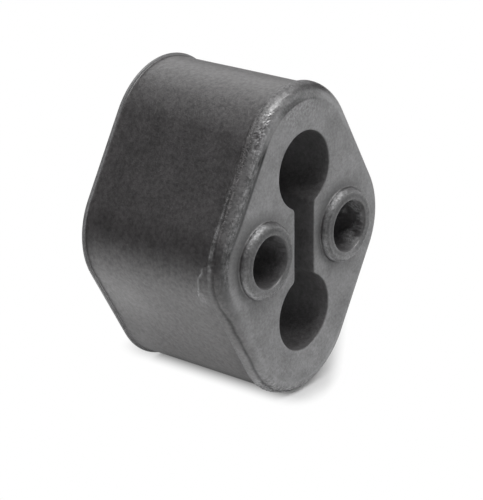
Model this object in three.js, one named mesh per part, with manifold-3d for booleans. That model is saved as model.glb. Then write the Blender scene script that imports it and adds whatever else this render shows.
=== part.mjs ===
// Exhaust hanger: one block of moulded rubber that carries an exhaust pipe under a car.
// A rod goes through each of the two bores, and the dumbbell-shaped opening between them lets the block stretch.
//
// Millimetres. X runs along the line through the two rod bores, Y along the bores with the front face
// towards -Y, and Z along the dumbbell opening. The origin is the middle of the block.

import * as THREE from 'three';
import { mergeVertices } from 'three/addons/utils/BufferGeometryUtils.js';
import Module from 'manifold-3d';

// Rod bores and the raised bosses around their mouths
const ROD_BORE_DIAMETER = 10.7;
const ROD_BORE_SPACING = 26;
const BORE_MOUTH_RADIUS = 0.5;
const BOSS_WALL = 2.5;
const BOSS_HEIGHT = 1.7;
const BOSS_EDGE_RADIUS = 0.8;

// Dumbbell opening: two round lobes joined by a straight neck
const LOBE_DIAMETER = 16;
const LOBE_SPACING = 30.3;
const NECK_WIDTH = 6.2;
const NECK_CORNER_RADIUS = 1.2;

// Rubber left between the openings and the outside of the block
const END_WALL = 9;
const SIDE_WALL = 7.5;

// Block
const BLOCK_DEPTH = 36.2;
const END_CORNER_RADIUS = 16.3;
const SIDE_CORNER_RADIUS = 15.2;

// Lips that run round both faces and stand proud of the block's side: a straight land, then a rounded edge
const FRONT_LIP_PROUD = 0.55;
const FRONT_LIP_LAND = 0.3;
const FRONT_EDGE_RADIUS = 3.1;
const REAR_LIP_PROUD = 0.55;
const REAR_LIP_LAND = 0.25;
const REAR_EDGE_RADIUS = 0.3;

// Fineness of the round stretches
const ARC_SEGMENTS = 10;
const LIP_EDGE_SEGMENTS = 4;
const SMALL_EDGE_SEGMENTS = 3;
const ROUND_SEGMENTS = 40;
const CUT_OVERRUN = 1;

// Places that follow from the sizes above
const BORE_RADIUS = ROD_BORE_DIAMETER / 2;
const BOSS_RADIUS = BORE_RADIUS + BOSS_WALL;
const BORE_X = ROD_BORE_SPACING / 2;
const LOBE_RADIUS = LOBE_DIAMETER / 2;
const LOBE_Z = LOBE_SPACING / 2;
const FRONT_Y = -BLOCK_DEPTH / 2;
const REAR_Y = BLOCK_DEPTH / 2;
const FRONT_CREASE_Y = FRONT_Y + FRONT_EDGE_RADIUS + FRONT_LIP_LAND;
const REAR_CREASE_Y = REAR_Y - REAR_EDGE_RADIUS - REAR_LIP_LAND;
const HALF_HEIGHT = LOBE_Z + LOBE_RADIUS + END_WALL;
const HALF_WIDTH = BORE_X + BORE_RADIUS + SIDE_WALL;

const wasm = await Module();
wasm.setup();

// Turns a closed geometry into a solid that can be joined and cut
function solidOf(geometry) {
  geometry.deleteAttribute('normal');
  geometry.deleteAttribute('uv');
  const merged = mergeVertices(geometry, 1e-4);
  const corners = merged.index.array;
  const triangles = [];
  for (let i = 0; i < corners.length; i += 3) {
    const [a, b, c] = corners.slice(i, i + 3);
    if (a !== b && b !== c && c !== a) triangles.push(a, b, c);
  }
  return new wasm.Manifold(new wasm.Mesh({
    numProp: 3,
    vertProperties: merged.attributes.position.array,
    triVerts: new Uint32Array(triangles),
  }));
}

// Turns a finished solid back into a geometry with flat facets
function geometryOf(solid) {
  const mesh = solid.getMesh();
  const geometry = new THREE.BufferGeometry();
  geometry.setAttribute('position', new THREE.BufferAttribute(mesh.vertProperties, 3));
  geometry.setIndex(new THREE.BufferAttribute(mesh.triVerts, 1));
  geometry.computeVertexNormals();
  return geometry;
}

// The block's outline in X and Z, grown outwards: four round corners joined by their common tangents
function blockOutline(grow) {
  const endZ = HALF_HEIGHT - END_CORNER_RADIUS;
  const sideX = HALF_WIDTH - SIDE_CORNER_RADIUS;
  const lean = Math.asin((SIDE_CORNER_RADIUS - END_CORNER_RADIUS) / Math.hypot(sideX, endZ));
  const tangent = Math.atan2(sideX, endZ) + lean;
  const endRadius = END_CORNER_RADIUS + grow;
  const sideRadius = SIDE_CORNER_RADIUS + grow;
  const outline = new THREE.Shape();
  outline.absarc(sideX, 0, sideRadius, -tangent, tangent);
  outline.absarc(0, endZ, endRadius, tangent, Math.PI - tangent);
  outline.absarc(-sideX, 0, sideRadius, Math.PI - tangent, Math.PI + tangent);
  outline.absarc(0, -endZ, endRadius, Math.PI + tangent, 2 * Math.PI - tangent);
  return outline;
}

// The dumbbell opening in X and Z: each lobe runs into the neck through a small rounded corner
function dumbbellOutline() {
  const cornerX = NECK_WIDTH / 2 + NECK_CORNER_RADIUS;
  const reach = LOBE_RADIUS + NECK_CORNER_RADIUS;
  const cornerZ = LOBE_Z - Math.sqrt(reach ** 2 - cornerX ** 2);
  const lobeStart = Math.asin((LOBE_Z - cornerZ) / reach);
  const outline = new THREE.Shape();
  outline.absarc(0, LOBE_Z, LOBE_RADIUS, -lobeStart, Math.PI + lobeStart);
  outline.absarc(-cornerX, cornerZ, NECK_CORNER_RADIUS, lobeStart, 0, true);
  outline.absarc(-cornerX, -cornerZ, NECK_CORNER_RADIUS, 0, -lobeStart, true);
  outline.absarc(0, -LOBE_Z, LOBE_RADIUS, Math.PI - lobeStart, 2 * Math.PI + lobeStart);
  outline.absarc(cornerX, -cornerZ, NECK_CORNER_RADIUS, Math.PI + lobeStart, Math.PI, true);
  outline.absarc(cornerX, cornerZ, NECK_CORNER_RADIUS, Math.PI, Math.PI - lobeStart, true);
  return outline;
}

// Extrudes an outline along Y between two depths, with both edges rounded by edgeRadius
function extrudeAlongY(outline, fromY, toY, edgeRadius = 0) {
  const geometry = new THREE.ExtrudeGeometry(outline, {
    depth: toY - fromY - 2 * edgeRadius,
    curveSegments: ARC_SEGMENTS,
    bevelEnabled: edgeRadius > 0,
    bevelThickness: edgeRadius,
    bevelSize: edgeRadius,
    bevelOffset: -edgeRadius,
    bevelSegments: LIP_EDGE_SEGMENTS,
  });
  geometry.rotateX(Math.PI / 2);
  geometry.translate(0, toY - edgeRadius, 0);
  return solidOf(geometry);
}

// A slab that covers the whole outline between two depths
function slab(fromY, toY) {
  const reach = CUT_OVERRUN + FRONT_LIP_PROUD + REAR_LIP_PROUD;
  const geometry = new THREE.BoxGeometry(2 * (HALF_WIDTH + reach), toY - fromY, 2 * (HALF_HEIGHT + reach));
  geometry.translate(0, (fromY + toY) / 2, 0);
  return solidOf(geometry);
}

// The lip at the front: its outer edge is well rounded and it ends in a sharp crease on the block's side
function frontLip() {
  const depth = FRONT_CREASE_Y - FRONT_Y;
  const plate = extrudeAlongY(blockOutline(FRONT_LIP_PROUD), FRONT_Y, FRONT_Y + 2 * depth, FRONT_EDGE_RADIUS);
  return plate.intersect(slab(FRONT_Y - CUT_OVERRUN, FRONT_CREASE_Y));
}

// The lip at the rear: a thin rim with a nearly sharp edge
function rearLip() {
  const depth = REAR_Y - REAR_CREASE_Y;
  const plate = extrudeAlongY(blockOutline(REAR_LIP_PROUD), REAR_Y - 2 * depth, REAR_Y, REAR_EDGE_RADIUS);
  return plate.intersect(slab(REAR_CREASE_Y, REAR_Y + CUT_OVERRUN));
}

// The straight side of the block, let into both lips by half the depth of their lands
function blockSide() {
  return extrudeAlongY(blockOutline(0), FRONT_CREASE_Y - FRONT_LIP_LAND / 2, REAR_CREASE_Y + REAR_LIP_LAND / 2);
}

// Points of a quarter circle around a centre, from one angle to another
function quarterRound(centreX, centreY, radius, fromAngle, toAngle) {
  const points = [];
  for (let i = 0; i <= SMALL_EDGE_SEGMENTS; i += 1) {
    const angle = THREE.MathUtils.lerp(fromAngle, toAngle, i / SMALL_EDGE_SEGMENTS);
    points.push(new THREE.Vector2(centreX + radius * Math.cos(angle), centreY + radius * Math.sin(angle)));
  }
  return points;
}

// Turns a profile that starts and ends on the axis about a line along Y at the given X
function turnAboutY(profile, x) {
  const geometry = new THREE.LatheGeometry(profile, ROUND_SEGMENTS);
  geometry.translate(x, 0, 0);
  return solidOf(geometry);
}

// The column of rubber around one bore, which stands out of both faces as a boss with a rounded edge
function bossColumn(x) {
  const endY = REAR_Y + BOSS_HEIGHT;
  const edgeX = BOSS_RADIUS - BOSS_EDGE_RADIUS;
  const edgeY = endY - BOSS_EDGE_RADIUS;
  const profile = [
    new THREE.Vector2(0, -endY),
    ...quarterRound(edgeX, -edgeY, BOSS_EDGE_RADIUS, -Math.PI / 2, 0),
    ...quarterRound(edgeX, edgeY, BOSS_EDGE_RADIUS, 0, Math.PI / 2),
    new THREE.Vector2(0, endY),
  ];
  return turnAboutY(profile, x);
}

// The space of one rod bore, which widens through a small round at each mouth
function rodBore(x) {
  const endY = REAR_Y + BOSS_HEIGHT;
  const mouthX = BORE_RADIUS + BORE_MOUTH_RADIUS;
  const mouthY = endY - BORE_MOUTH_RADIUS;
  const profile = [
    new THREE.Vector2(0, -endY - CUT_OVERRUN),
    new THREE.Vector2(mouthX, -endY - CUT_OVERRUN),
    ...quarterRound(mouthX, -mouthY, BORE_MOUTH_RADIUS, 1.5 * Math.PI, Math.PI),
    ...quarterRound(mouthX, mouthY, BORE_MOUTH_RADIUS, Math.PI, Math.PI / 2),
    new THREE.Vector2(mouthX, endY + CUT_OVERRUN),
    new THREE.Vector2(0, endY + CUT_OVERRUN),
  ];
  return turnAboutY(profile, x);
}

function dumbbellOpening() {
  return extrudeAlongY(dumbbellOutline(), FRONT_Y - CUT_OVERRUN, REAR_Y + CUT_OVERRUN);
}

function hangerBlock() {
  let block = blockSide().add(frontLip()).add(rearLip());
  for (const x of [-BORE_X, BORE_X]) {
    block = block.add(bossColumn(x)).subtract(rodBore(x));
  }
  block = block.subtract(dumbbellOpening());
  const rubber = new THREE.MeshStandardMaterial({ color: 0x4b4a4c, roughness: 0.72, metalness: 0 });
  const mesh = new THREE.Mesh(geometryOf(block), rubber);
  mesh.name = 'hanger_block';
  return mesh;
}

const exhaustHanger = new THREE.Group();
exhaustHanger.add(hangerBlock());

export default exhaustHanger;
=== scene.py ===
# %% [markdown]
# # A moulded rubber exhaust hanger
# This lesson dresses one car part: the rubber block that carries an exhaust pipe. One rod goes through
# each of its two bores, and the dumbbell-shaped opening between them lets the block stretch. The
# construction, with its real sizes, is already packed as a frame. Here the block gets the surface that a
# real moulding has: rounded lips, the ragged line where the two halves of the mould met, a pale matte face
# and darker satin sides.
#
# Everything is in metres, in the frame's own axes: X runs through both bores, Y along them with the front
# face towards -Y, and Z along the dumbbell opening.

# %% Load the frame
import math
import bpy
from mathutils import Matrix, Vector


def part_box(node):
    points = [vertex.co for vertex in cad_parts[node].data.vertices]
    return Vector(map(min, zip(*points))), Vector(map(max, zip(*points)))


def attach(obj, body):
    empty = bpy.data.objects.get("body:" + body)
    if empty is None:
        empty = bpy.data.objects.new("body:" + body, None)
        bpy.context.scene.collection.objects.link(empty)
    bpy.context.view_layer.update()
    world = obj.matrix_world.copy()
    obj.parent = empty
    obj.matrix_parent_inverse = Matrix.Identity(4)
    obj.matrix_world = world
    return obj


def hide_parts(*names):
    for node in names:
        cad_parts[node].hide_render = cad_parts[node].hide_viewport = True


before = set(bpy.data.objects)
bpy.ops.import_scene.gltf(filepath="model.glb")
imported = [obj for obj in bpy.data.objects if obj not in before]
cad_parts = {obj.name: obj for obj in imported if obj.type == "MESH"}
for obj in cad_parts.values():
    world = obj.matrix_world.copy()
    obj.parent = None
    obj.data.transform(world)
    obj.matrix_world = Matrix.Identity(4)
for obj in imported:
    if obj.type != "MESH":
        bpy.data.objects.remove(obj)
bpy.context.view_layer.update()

from types import SimpleNamespace

import bmesh
import bpy
import numpy as np
from mathutils import Matrix, Vector, noise

print("frame nodes:", sorted(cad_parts))

# %% [markdown]
# ## The sizes
# A dressed surface has to lie on the solid that it replaces, so every size here is the real one. The
# overall height, width and depth are read from the frame, and the others are written as millimetres, once,
# by name. Everything that comes later is worked out from them.

# %% Sizes of the block
MM = 0.001

BORE_RADIUS = 5.35 * MM
BORE_X = 13.0 * MM
MOUTH_ROUND = 0.35 * MM
BOSS_WALL = 2.5 * MM
BOSS_HEIGHT = 1.7 * MM
BOSS_ROUND = 1.2 * MM
LOBE_RADIUS = 8.0 * MM
LOBE_Z = 15.15 * MM
NECK_HALF = 3.1 * MM
NECK_CORNER = 1.2 * MM
END_CORNER = 16.3 * MM
SIDE_CORNER = 15.2 * MM
FRONT_PROUD = 0.55 * MM
FRONT_LAND = 0.3 * MM
FRONT_ROUND = 3.1 * MM
REAR_PROUD = 0.55 * MM
REAR_LAND = 0.25 * MM
REAR_ROUND = 0.3 * MM

low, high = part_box("hanger_block")
FACE = high[1] - BOSS_HEIGHT
HALF_HEIGHT = high[2] - REAR_PROUD
HALF_WIDTH = high[0] - REAR_PROUD
FRONT_CREASE = -FACE + FRONT_ROUND + FRONT_LAND
REAR_CREASE = FACE - REAR_ROUND - REAR_LAND
FLOOR_Z = low[2]
print("face to face in mm:", round(2 * FACE / MM, 2))

# %% [markdown]
# ## The camera
# The photograph looks down at the block from its front left. The camera's place was worked out from the
# edges of the openings, as a direction, a distance and a small roll. It aims beside the middle of the front
# face, because the block doesn't sit in the middle of the picture. A long lens from far away gives the mild
# perspective.

# %% Camera
CAMERA_AZIMUTH = -50.87
CAMERA_ELEVATION = 21.0
CAMERA_ROLL = -0.53
CAMERA_DISTANCE = 423.3 * MM
CAMERA_LENS_MM = 152.6
AIM_RIGHT = -12.58 * MM
AIM_UP = -1.57 * MM


def make_camera():
    azimuth, elevation = math.radians(CAMERA_AZIMUTH), math.radians(CAMERA_ELEVATION)
    flat = math.cos(elevation)
    back = Vector((math.sin(azimuth) * flat, -math.cos(azimuth) * flat, math.sin(elevation)))
    right = Vector((math.cos(azimuth), math.sin(azimuth), 0))
    up = back.cross(right)
    turn = Matrix.Rotation(math.radians(CAMERA_ROLL), 3, back)
    right, up = turn @ right, turn @ up
    data = bpy.data.cameras.new("photo_camera")
    data.lens = CAMERA_LENS_MM
    data.clip_start, data.clip_end = 0.01, 20
    camera = bpy.data.objects.new("photo_camera", data)
    bpy.context.scene.collection.objects.link(camera)
    aim = Vector((0, -FACE, 0)) + AIM_RIGHT * right + AIM_UP * up
    turned = Matrix((right, up, back)).transposed().to_4x4()
    camera.matrix_world = Matrix.Translation(aim + back * CAMERA_DISTANCE) @ turned
    bpy.context.scene.camera = camera
    return camera


camera = make_camera()
print("camera at mm:", [round(v / MM, 1) for v in camera.location])

# %% [markdown]
# ## Colours
# A colour is easiest to choose as it looks on a screen, which is an sRGB hex value. Blender's shaders work
# in linear light, so one function turns the one into the other.

# %% Colours as linear light


def linear(hexa):
    values = [int(hexa[i:i + 2], 16) / 255 for i in (1, 3, 5)]
    curve = [v / 12.92 if v <= 0.04045 else ((v + 0.055) / 1.055) ** 2.4 for v in values]
    return (*curve, 1.0)


print("mid grey in linear light:", round(linear("#808080")[0], 3))

# %% [markdown]
# ## Adding nodes
# Shaders and Geometry Nodes are both graphs of nodes. One small function adds a node of any kind: it sets
# the node's own settings, and gives each input either a plain value or a link from another node's output.

# %% A helper that adds a node


def add(tree, kind, inputs=(), **settings):
    node = tree.nodes.new(kind)
    for name, value in settings.items():
        setattr(node, name, value)
    for socket, value in dict(inputs).items():
        if isinstance(value, bpy.types.NodeSocket):
            tree.links.new(value, node.inputs[socket])
        else:
            node.inputs[socket].default_value = value
    return node


# %% [markdown]
# ## The studio
# The block stands on a white light table, the usual place for catalogue pictures of small parts. The table
# glows only to the camera and in reflections, and to the camera its glow stops short of a narrow band round
# the foot of the block, so the shadow there is painted narrow. Blender can tell the rays apart that meet the
# table: those of the camera, those that a satin side mirrors, and all other light. Each of the three may
# see a table of its own.

# %% A value for the camera, one for mirrored and refracted rays, and one for all other light


def by_ray(tree, camera, mirrored, other):
    path = add(tree, "ShaderNodeLightPath").outputs
    mirror = add(tree, "ShaderNodeMath", {0: path["Is Glossy Ray"], 1: path["Is Transmission Ray"]},
                 operation="MAXIMUM").outputs[0]
    value = add(tree, "ShaderNodeMix", {0: mirror, 2: other, 3: mirrored}).outputs[0]
    return add(tree, "ShaderNodeMix", {0: path["Is Camera Ray"], 2: value, 3: camera}).outputs[0]


# %% [markdown]
# To the camera the table turns from its own lit surface, where the shadow lies, into an even white glow.
# The pairs below say where that change starts on each side of the block and how far it takes. Towards the
# rear it follows a slanted line, because the lamps stand at the left and push the shadow to the right.

# %% How the camera sees the table
SHADOW_GLOW = 0.05
SHADOW_LEFT = (-1.2 * MM, -8.0 * MM)
SHADOW_FRONT = (-18.0 * MM, -6.0 * MM)
SHADOW_REAR = (20.0 * MM, 10.0 * MM)
SHADOW_SLANT = (22.5 * MM, 5.0 * MM)
SHADOW_SLOPE = 0.667
SHADOW_REACH = 18.0 * MM


def past(tree, value, start_and_span):
    start, span = start_and_span
    share = add(tree, "ShaderNodeMath", {0: value, 1: 1 / span, 2: -start / span}, operation="MULTIPLY_ADD")
    return add(tree, "ShaderNodeMath", {0: share.outputs[0], 1: 0.0}, operation="MAXIMUM").outputs[0]


def glow_for_camera(tree, along):
    slant = add(tree, "ShaderNodeMath", {0: along["X"], 1: SHADOW_SLOPE}, operation="MULTIPLY").outputs[0]
    slant = add(tree, "ShaderNodeMath", {0: slant, 1: along["Y"]}, operation="SUBTRACT").outputs[0]
    reach = add(tree, "ShaderNodeMath", {0: along["X"], 1: SHADOW_REACH}, operation="SUBTRACT").outputs[0]
    slant = add(tree, "ShaderNodeMath", {0: slant, 1: reach}, operation="MAXIMUM").outputs[0]
    slant, rear = past(tree, slant, SHADOW_SLANT), past(tree, along["Y"], SHADOW_REAR)
    behind = add(tree, "ShaderNodeMath", {0: slant, 1: rear}, operation="ADD").outputs[0]
    left, front = past(tree, along["X"], SHADOW_LEFT), past(tree, along["Y"], SHADOW_FRONT)
    away = add(tree, "ShaderNodeCombineXYZ", {"X": left, "Y": front, "Z": behind}).outputs[0]
    far = add(tree, "ShaderNodeVectorMath", {0: away}, operation="LENGTH").outputs["Value"]
    return add(tree, "ShaderNodeMapRange", {"Value": far, "To Min": SHADOW_GLOW, "To Max": 1.0},
               interpolation_type="SMOOTHSTEP").outputs["Result"]


print("the shadow ends in mm left of the middle at:", round(sum(SHADOW_LEFT) / MM, 1))

# %% [markdown]
# A satin side mirrors the table as a ramp of greys along X, which the table shows only in reflections, so it
# is a painted reflection: bright a little to the left of the block and all over the right, dark under the
# block and far to the left. That is what shades the lower side of the block from light to grey.

# %% How a satin side mirrors the table
TABLE_SPAN = 200 * MM
TABLE_MIRRORED = ((0.0, 0.04), (0.22, 0.2), (0.34, 0.6), (0.39, 1.0), (0.44, 1.0), (0.47, 0.6), (0.5, 0.1),
                  (0.58, 0.15), (0.65, 1.0), (1.0, 1.0))


def glow_mirrored(tree, along):
    across = add(tree, "ShaderNodeMapRange", {"Value": along["X"], "From Min": -TABLE_SPAN,
                                              "From Max": TABLE_SPAN}).outputs["Result"]
    ramp = add(tree, "ShaderNodeValToRGB", {"Fac": across})
    stops = ramp.color_ramp.elements
    for spare in TABLE_MIRRORED[2:]:
        stops.new(spare[0])
    for stop, (position, level) in zip(stops, TABLE_MIRRORED):
        stop.position = position
        stop.color = (level, level, level, 1)
    return ramp.outputs["Color"]


print("brightest part of the mirrored table:", max(level for position, level in TABLE_MIRRORED))

# %% Table
FLOOR_HALF = 3.0
TABLE_WHITE = linear("#f8f8f8")[0]
# To the camera the table's own surface is darker than to the lamps: this paints its shadow deeper.
TABLE_IN_SHADOW = linear("#dadada")[0]


def table_material():
    table = bpy.data.materials.new("white_acrylic_light_table")
    table.use_nodes = True
    tree = table.node_tree
    surface = tree.nodes["Principled BSDF"]
    tree.links.new(by_ray(tree, TABLE_IN_SHADOW, TABLE_WHITE, TABLE_WHITE), surface.inputs["Base Color"])
    surface.inputs["Roughness"].default_value = 0.9
    surface.inputs["Specular IOR Level"].default_value = 0.1
    place = add(tree, "ShaderNodeTexCoord").outputs["Object"]
    along = add(tree, "ShaderNodeSeparateXYZ", {0: place}).outputs
    strength = by_ray(tree, 1.0, glow_mirrored(tree, along), 1.0)
    glow = add(tree, "ShaderNodeEmission", {"Color": linear("#ffffff"), "Strength": strength})
    share = by_ray(tree, glow_for_camera(tree, along), 1.0, 0.0)
    mixed = add(tree, "ShaderNodeMixShader", {0: share, 1: surface.outputs[0], 2: glow.outputs[0]})
    tree.links.new(mixed.outputs[0], tree.nodes["Material Output"].inputs["Surface"])
    return table


def make_floor():
    mesh = bpy.data.meshes.new("studio_floor")
    corners = [(x * FLOOR_HALF, y * FLOOR_HALF, FLOOR_Z) for x, y in ((-1, -1), (1, -1), (1, 1), (-1, 1))]
    mesh.from_pydata(corners, [], [(0, 1, 2, 3)])
    mesh.materials.append(table_material())
    floor = bpy.data.objects.new("studio_floor", mesh)
    bpy.context.scene.collection.objects.link(floor)


make_floor()
print("floor at mm:", round(FLOOR_Z / MM, 2))

# %% [markdown]
# Four softboxes light the block: one above each of its shoulders, a small one above the front that draws
# the bright streak on the lip, and a weak one at the right that lights the front face. The room is white
# to the camera and dim in reflections, so the upper left side, which mirrors the room and no lamp, stays
# dark.

# %% Lamps and room
LAMPS = {
    "softbox_left": {"place": (-0.30, 0.05, 0.82), "size": 0.70, "watts": 3.0},
    "softbox_above": {"place": (0.12, -0.36, 0.82), "size": 0.40, "watts": 4.5},
    "softbox_behind": {"place": (0.50, 0.60, 0.60), "size": 0.80, "watts": 2.7},
    "softbox_right": {"place": (0.65, -0.60, 0.30), "size": 0.40, "watts": 1.6},
}
ROOM_AMBIENT = 0.35
ROOM_MIRRORED = 0.08


def make_lamp(name, place, size, watts):
    data = bpy.data.lights.new(name, "AREA")
    data.shape = "SQUARE"
    data.size = size
    data.energy = watts
    lamp = bpy.data.objects.new(name, data)
    lamp.location = place
    lamp.rotation_euler = Vector(place).to_track_quat("Z", "Y").to_euler()
    bpy.context.scene.collection.objects.link(lamp)


def make_room():
    world = bpy.data.worlds.new("studio_room")
    bpy.context.scene.world = world
    world.use_nodes = True
    tree = world.node_tree
    tree.nodes.clear()
    strength = by_ray(tree, 1.0, ROOM_MIRRORED, ROOM_AMBIENT)
    background = add(tree, "ShaderNodeBackground", {"Color": linear("#ffffff"), "Strength": strength})
    add(tree, "ShaderNodeOutputWorld", {"Surface": background.outputs[0]})


for lamp_name, lamp in LAMPS.items():
    make_lamp(lamp_name, **lamp)
make_room()
bpy.context.scene.view_settings.view_transform = "Standard"
print("lamps:", list(LAMPS))

# %% [markdown]
# ## The paths
# Every wall of the block is one profile carried round one closed path. The block's outline is four round
# corners joined by their common tangents, the opening is two lobes joined by a neck, and each bore is a
# circle. A path is written as a chain of arcs, and the straight stretches are what is left between them.

# %% Closed paths in X and Z, all running the same way round


def arc(centre, radius, start, end, steps):
    angles = np.linspace(start, end, steps + 1)
    return [(centre[0] + radius * math.cos(a), centre[1] + radius * math.sin(a)) for a in angles]


def block_path(steps=64):
    end_z, side_x = HALF_HEIGHT - END_CORNER, HALF_WIDTH - SIDE_CORNER
    lean = math.asin((SIDE_CORNER - END_CORNER) / math.hypot(side_x, end_z))
    tangent = math.atan2(side_x, end_z) + lean
    return (arc((side_x, 0), SIDE_CORNER, -tangent, tangent, steps)
            + arc((0, end_z), END_CORNER, tangent, math.pi - tangent, steps)
            + arc((-side_x, 0), SIDE_CORNER, math.pi - tangent, math.pi + tangent, steps)
            + arc((0, -end_z), END_CORNER, math.pi + tangent, 2 * math.pi - tangent, steps))


def dumbbell_path(steps=72, corner_steps=10):
    corner_x, reach = NECK_HALF + NECK_CORNER, LOBE_RADIUS + NECK_CORNER
    corner_z = LOBE_Z - math.sqrt(reach ** 2 - corner_x ** 2)
    start = math.asin((LOBE_Z - corner_z) / reach)
    upper = arc((0, LOBE_Z), LOBE_RADIUS, -start, math.pi + start, steps)
    left_top = arc((-corner_x, corner_z), NECK_CORNER, start, 0, corner_steps)
    right_top = arc((corner_x, corner_z), NECK_CORNER, math.pi, math.pi - start, corner_steps)
    top = right_top + upper + left_top
    return top + [(-x, -z) for x, z in top]


def bore_path(x, steps=128):
    return arc((x, 0), BORE_RADIUS, 0, 2 * math.pi, steps)[:-1]


def path_object(name, points):
    curve = bpy.data.curves.new(name, "CURVE")
    curve.dimensions = "3D"
    spline = curve.splines.new("POLY")
    spline.points.add(len(points) - 1)
    for point, (x, z) in zip(spline.points, points):
        point.co = (x, 0, z, 1)
    spline.use_cyclic_u = True
    made = bpy.data.objects.new(name, curve)
    bpy.context.scene.collection.objects.link(made)
    return made


paths = {"block": path_object("block_path", block_path()),
         "dumbbell": path_object("dumbbell_path", dumbbell_path()),
         "left_bore": path_object("left_bore_path", bore_path(-BORE_X)),
         "right_bore": path_object("right_bore_path", bore_path(BORE_X))}
print("points on each path:", {name: len(p.data.splines[0].points) for name, p in paths.items()})

# %% [markdown]
# ## The profiles
# A profile is a chain of points (out, y): how far a point lies outside the path, and how deep it is. It
# starts and ends with a narrow flat strip on a face, so that the flat face can be joined to it later
# without a visible seam. The order decides which way the surface looks: the outside of the block runs from
# the front to the rear, and the walls of the openings run from the rear to the front.

# %% Profile pieces
STRIP = 0.35 * MM
FINE_CORNER = 0.16 * MM


def straight(start, end, steps):
    return [tuple(p) for p in np.linspace(start, end, steps + 1)]


def chain(*pieces):
    points = [pieces[0][0]]
    for piece in pieces:
        for point in piece:
            if math.dist(point, points[-1]) > 1e-6:
                points.append(point)
    return points


def mirrored(points):
    return [(out, -y) for out, y in reversed(points)]


QUARTER = math.pi / 2

# %% [markdown]
# The outside profile has the front lip with its well-rounded edge, a sharp step down to the side, the long
# straight side, and the thinner rear lip. Its rows are close together where the mould left ragged rubber
# and far apart where the side is plain, because points are only worth having where the shape changes.

# %% Profile of the outside
RAGGED_DEPTH = 4.0 * MM


def outside_profile():
    front, rear = -FACE, FACE
    front_in, rear_in = FRONT_PROUD - FRONT_ROUND, REAR_PROUD - REAR_ROUND
    fine = FINE_CORNER
    return chain(
        straight((front_in - STRIP, front), (front_in, front), 1),
        arc((front_in, front + FRONT_ROUND), FRONT_ROUND, -QUARTER, 0, 26),
        straight((FRONT_PROUD, front + FRONT_ROUND), (FRONT_PROUD, FRONT_CREASE - fine), 1),
        arc((FRONT_PROUD - fine, FRONT_CREASE - fine), fine, 0, QUARTER, 2),
        straight((FRONT_PROUD - fine, FRONT_CREASE), (fine, FRONT_CREASE), 1),
        arc((fine, FRONT_CREASE + fine), fine, -QUARTER, -2 * QUARTER, 2),
        straight((0, FRONT_CREASE + fine), (0, FRONT_CREASE + RAGGED_DEPTH), 20),
        straight((0, FRONT_CREASE + RAGGED_DEPTH), (0, REAR_CREASE - 2 * fine), 10),
        straight((0, REAR_CREASE - 2 * fine), (0, REAR_CREASE - fine), 1),
        arc((fine, REAR_CREASE - fine), fine, 2 * QUARTER, QUARTER, 2),
        straight((fine, REAR_CREASE), (REAR_PROUD - fine, REAR_CREASE), 1),
        arc((REAR_PROUD - fine, REAR_CREASE + fine), fine, -QUARTER, 0, 2),
        straight((REAR_PROUD, REAR_CREASE + fine), (REAR_PROUD, rear - REAR_ROUND), 1),
        arc((rear_in, rear - REAR_ROUND), REAR_ROUND, 0, QUARTER, 4),
        straight((rear_in, rear), (rear_in - STRIP, rear), 1))


# %% Profiles of the openings
RIM_ROUND = 0.3 * MM
BOSS_FOOT = 0.3 * MM
FLAKY_DEPTH = 9 * MM


def dumbbell_profile():
    rear_half = chain(
        straight((RIM_ROUND + STRIP, FACE), (RIM_ROUND, FACE), 1),
        arc((RIM_ROUND, FACE - RIM_ROUND), RIM_ROUND, QUARTER, 2 * QUARTER, 4),
        straight((0, FACE - RIM_ROUND), (0, 0), 8))
    return chain(rear_half, mirrored(rear_half))


def bore_profile():
    boss_end = FACE + BOSS_HEIGHT
    rear_half = chain(
        straight((BOSS_WALL + BOSS_FOOT + STRIP, FACE), (BOSS_WALL + BOSS_FOOT, FACE), 1),
        arc((BOSS_WALL + BOSS_FOOT, FACE + BOSS_FOOT), BOSS_FOOT, -QUARTER, -2 * QUARTER, 3),
        straight((BOSS_WALL, FACE + BOSS_FOOT), (BOSS_WALL, boss_end - BOSS_ROUND), 2),
        arc((BOSS_WALL - BOSS_ROUND, boss_end - BOSS_ROUND), BOSS_ROUND, 0, QUARTER, 7),
        straight((BOSS_WALL - BOSS_ROUND, boss_end), (MOUTH_ROUND, boss_end), 3),
        arc((MOUTH_ROUND, boss_end - MOUTH_ROUND), MOUTH_ROUND, QUARTER, 2 * QUARTER, 5),
        straight((0, boss_end - MOUTH_ROUND), (0, boss_end - FLAKY_DEPTH), 12),
        straight((0, boss_end - FLAKY_DEPTH), (0, 0), 3))
    return chain(rear_half, mirrored(rear_half))


profiles = {"outside": outside_profile(), "dumbbell": dumbbell_profile(), "bore": bore_profile()}
print("rows in each profile:", {name: len(p) for name, p in profiles.items()})

# %% [markdown]
# A profile becomes a small mesh, one vertex for each row, which carries what the walls need to know about
# that row: which way the surface looks there, and how much the surface belongs to a matte face. Vertex
# attributes are a tidy way to hand such facts to Geometry Nodes.

# %% Profile objects
FACING = (0.60, 1.0)


def row_normals(points):
    step = np.diff(np.array(points), axis=0)
    step /= np.linalg.norm(step, axis=1)[:, None]
    way = np.vstack([step[:1], step]) + np.vstack([step, step[-1:]])
    way /= np.linalg.norm(way, axis=1)[:, None]
    return np.stack([way[:, 1], -way[:, 0]], axis=1)


def profile_object(name, points):
    mesh = bpy.data.meshes.new(name)
    mesh.from_pydata([(out, y, 0) for out, y in points], [(i, i + 1) for i in range(len(points) - 1)], [])
    normals = row_normals(points)
    way = mesh.attributes.new("way_out", "FLOAT_VECTOR", "POINT")
    way.data.foreach_set("vector", np.insert(normals, 2, 0.0, axis=1).ravel())
    matte = mesh.attributes.new("matte", "FLOAT", "POINT")
    facing = np.clip((np.abs(normals[:, 1]) - FACING[0]) / (FACING[1] - FACING[0]), 0, 1)
    matte.data.foreach_set("value", facing * facing * (3 - 2 * facing))
    made = bpy.data.objects.new(name, mesh)
    bpy.context.scene.collection.objects.link(made)
    return made


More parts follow.
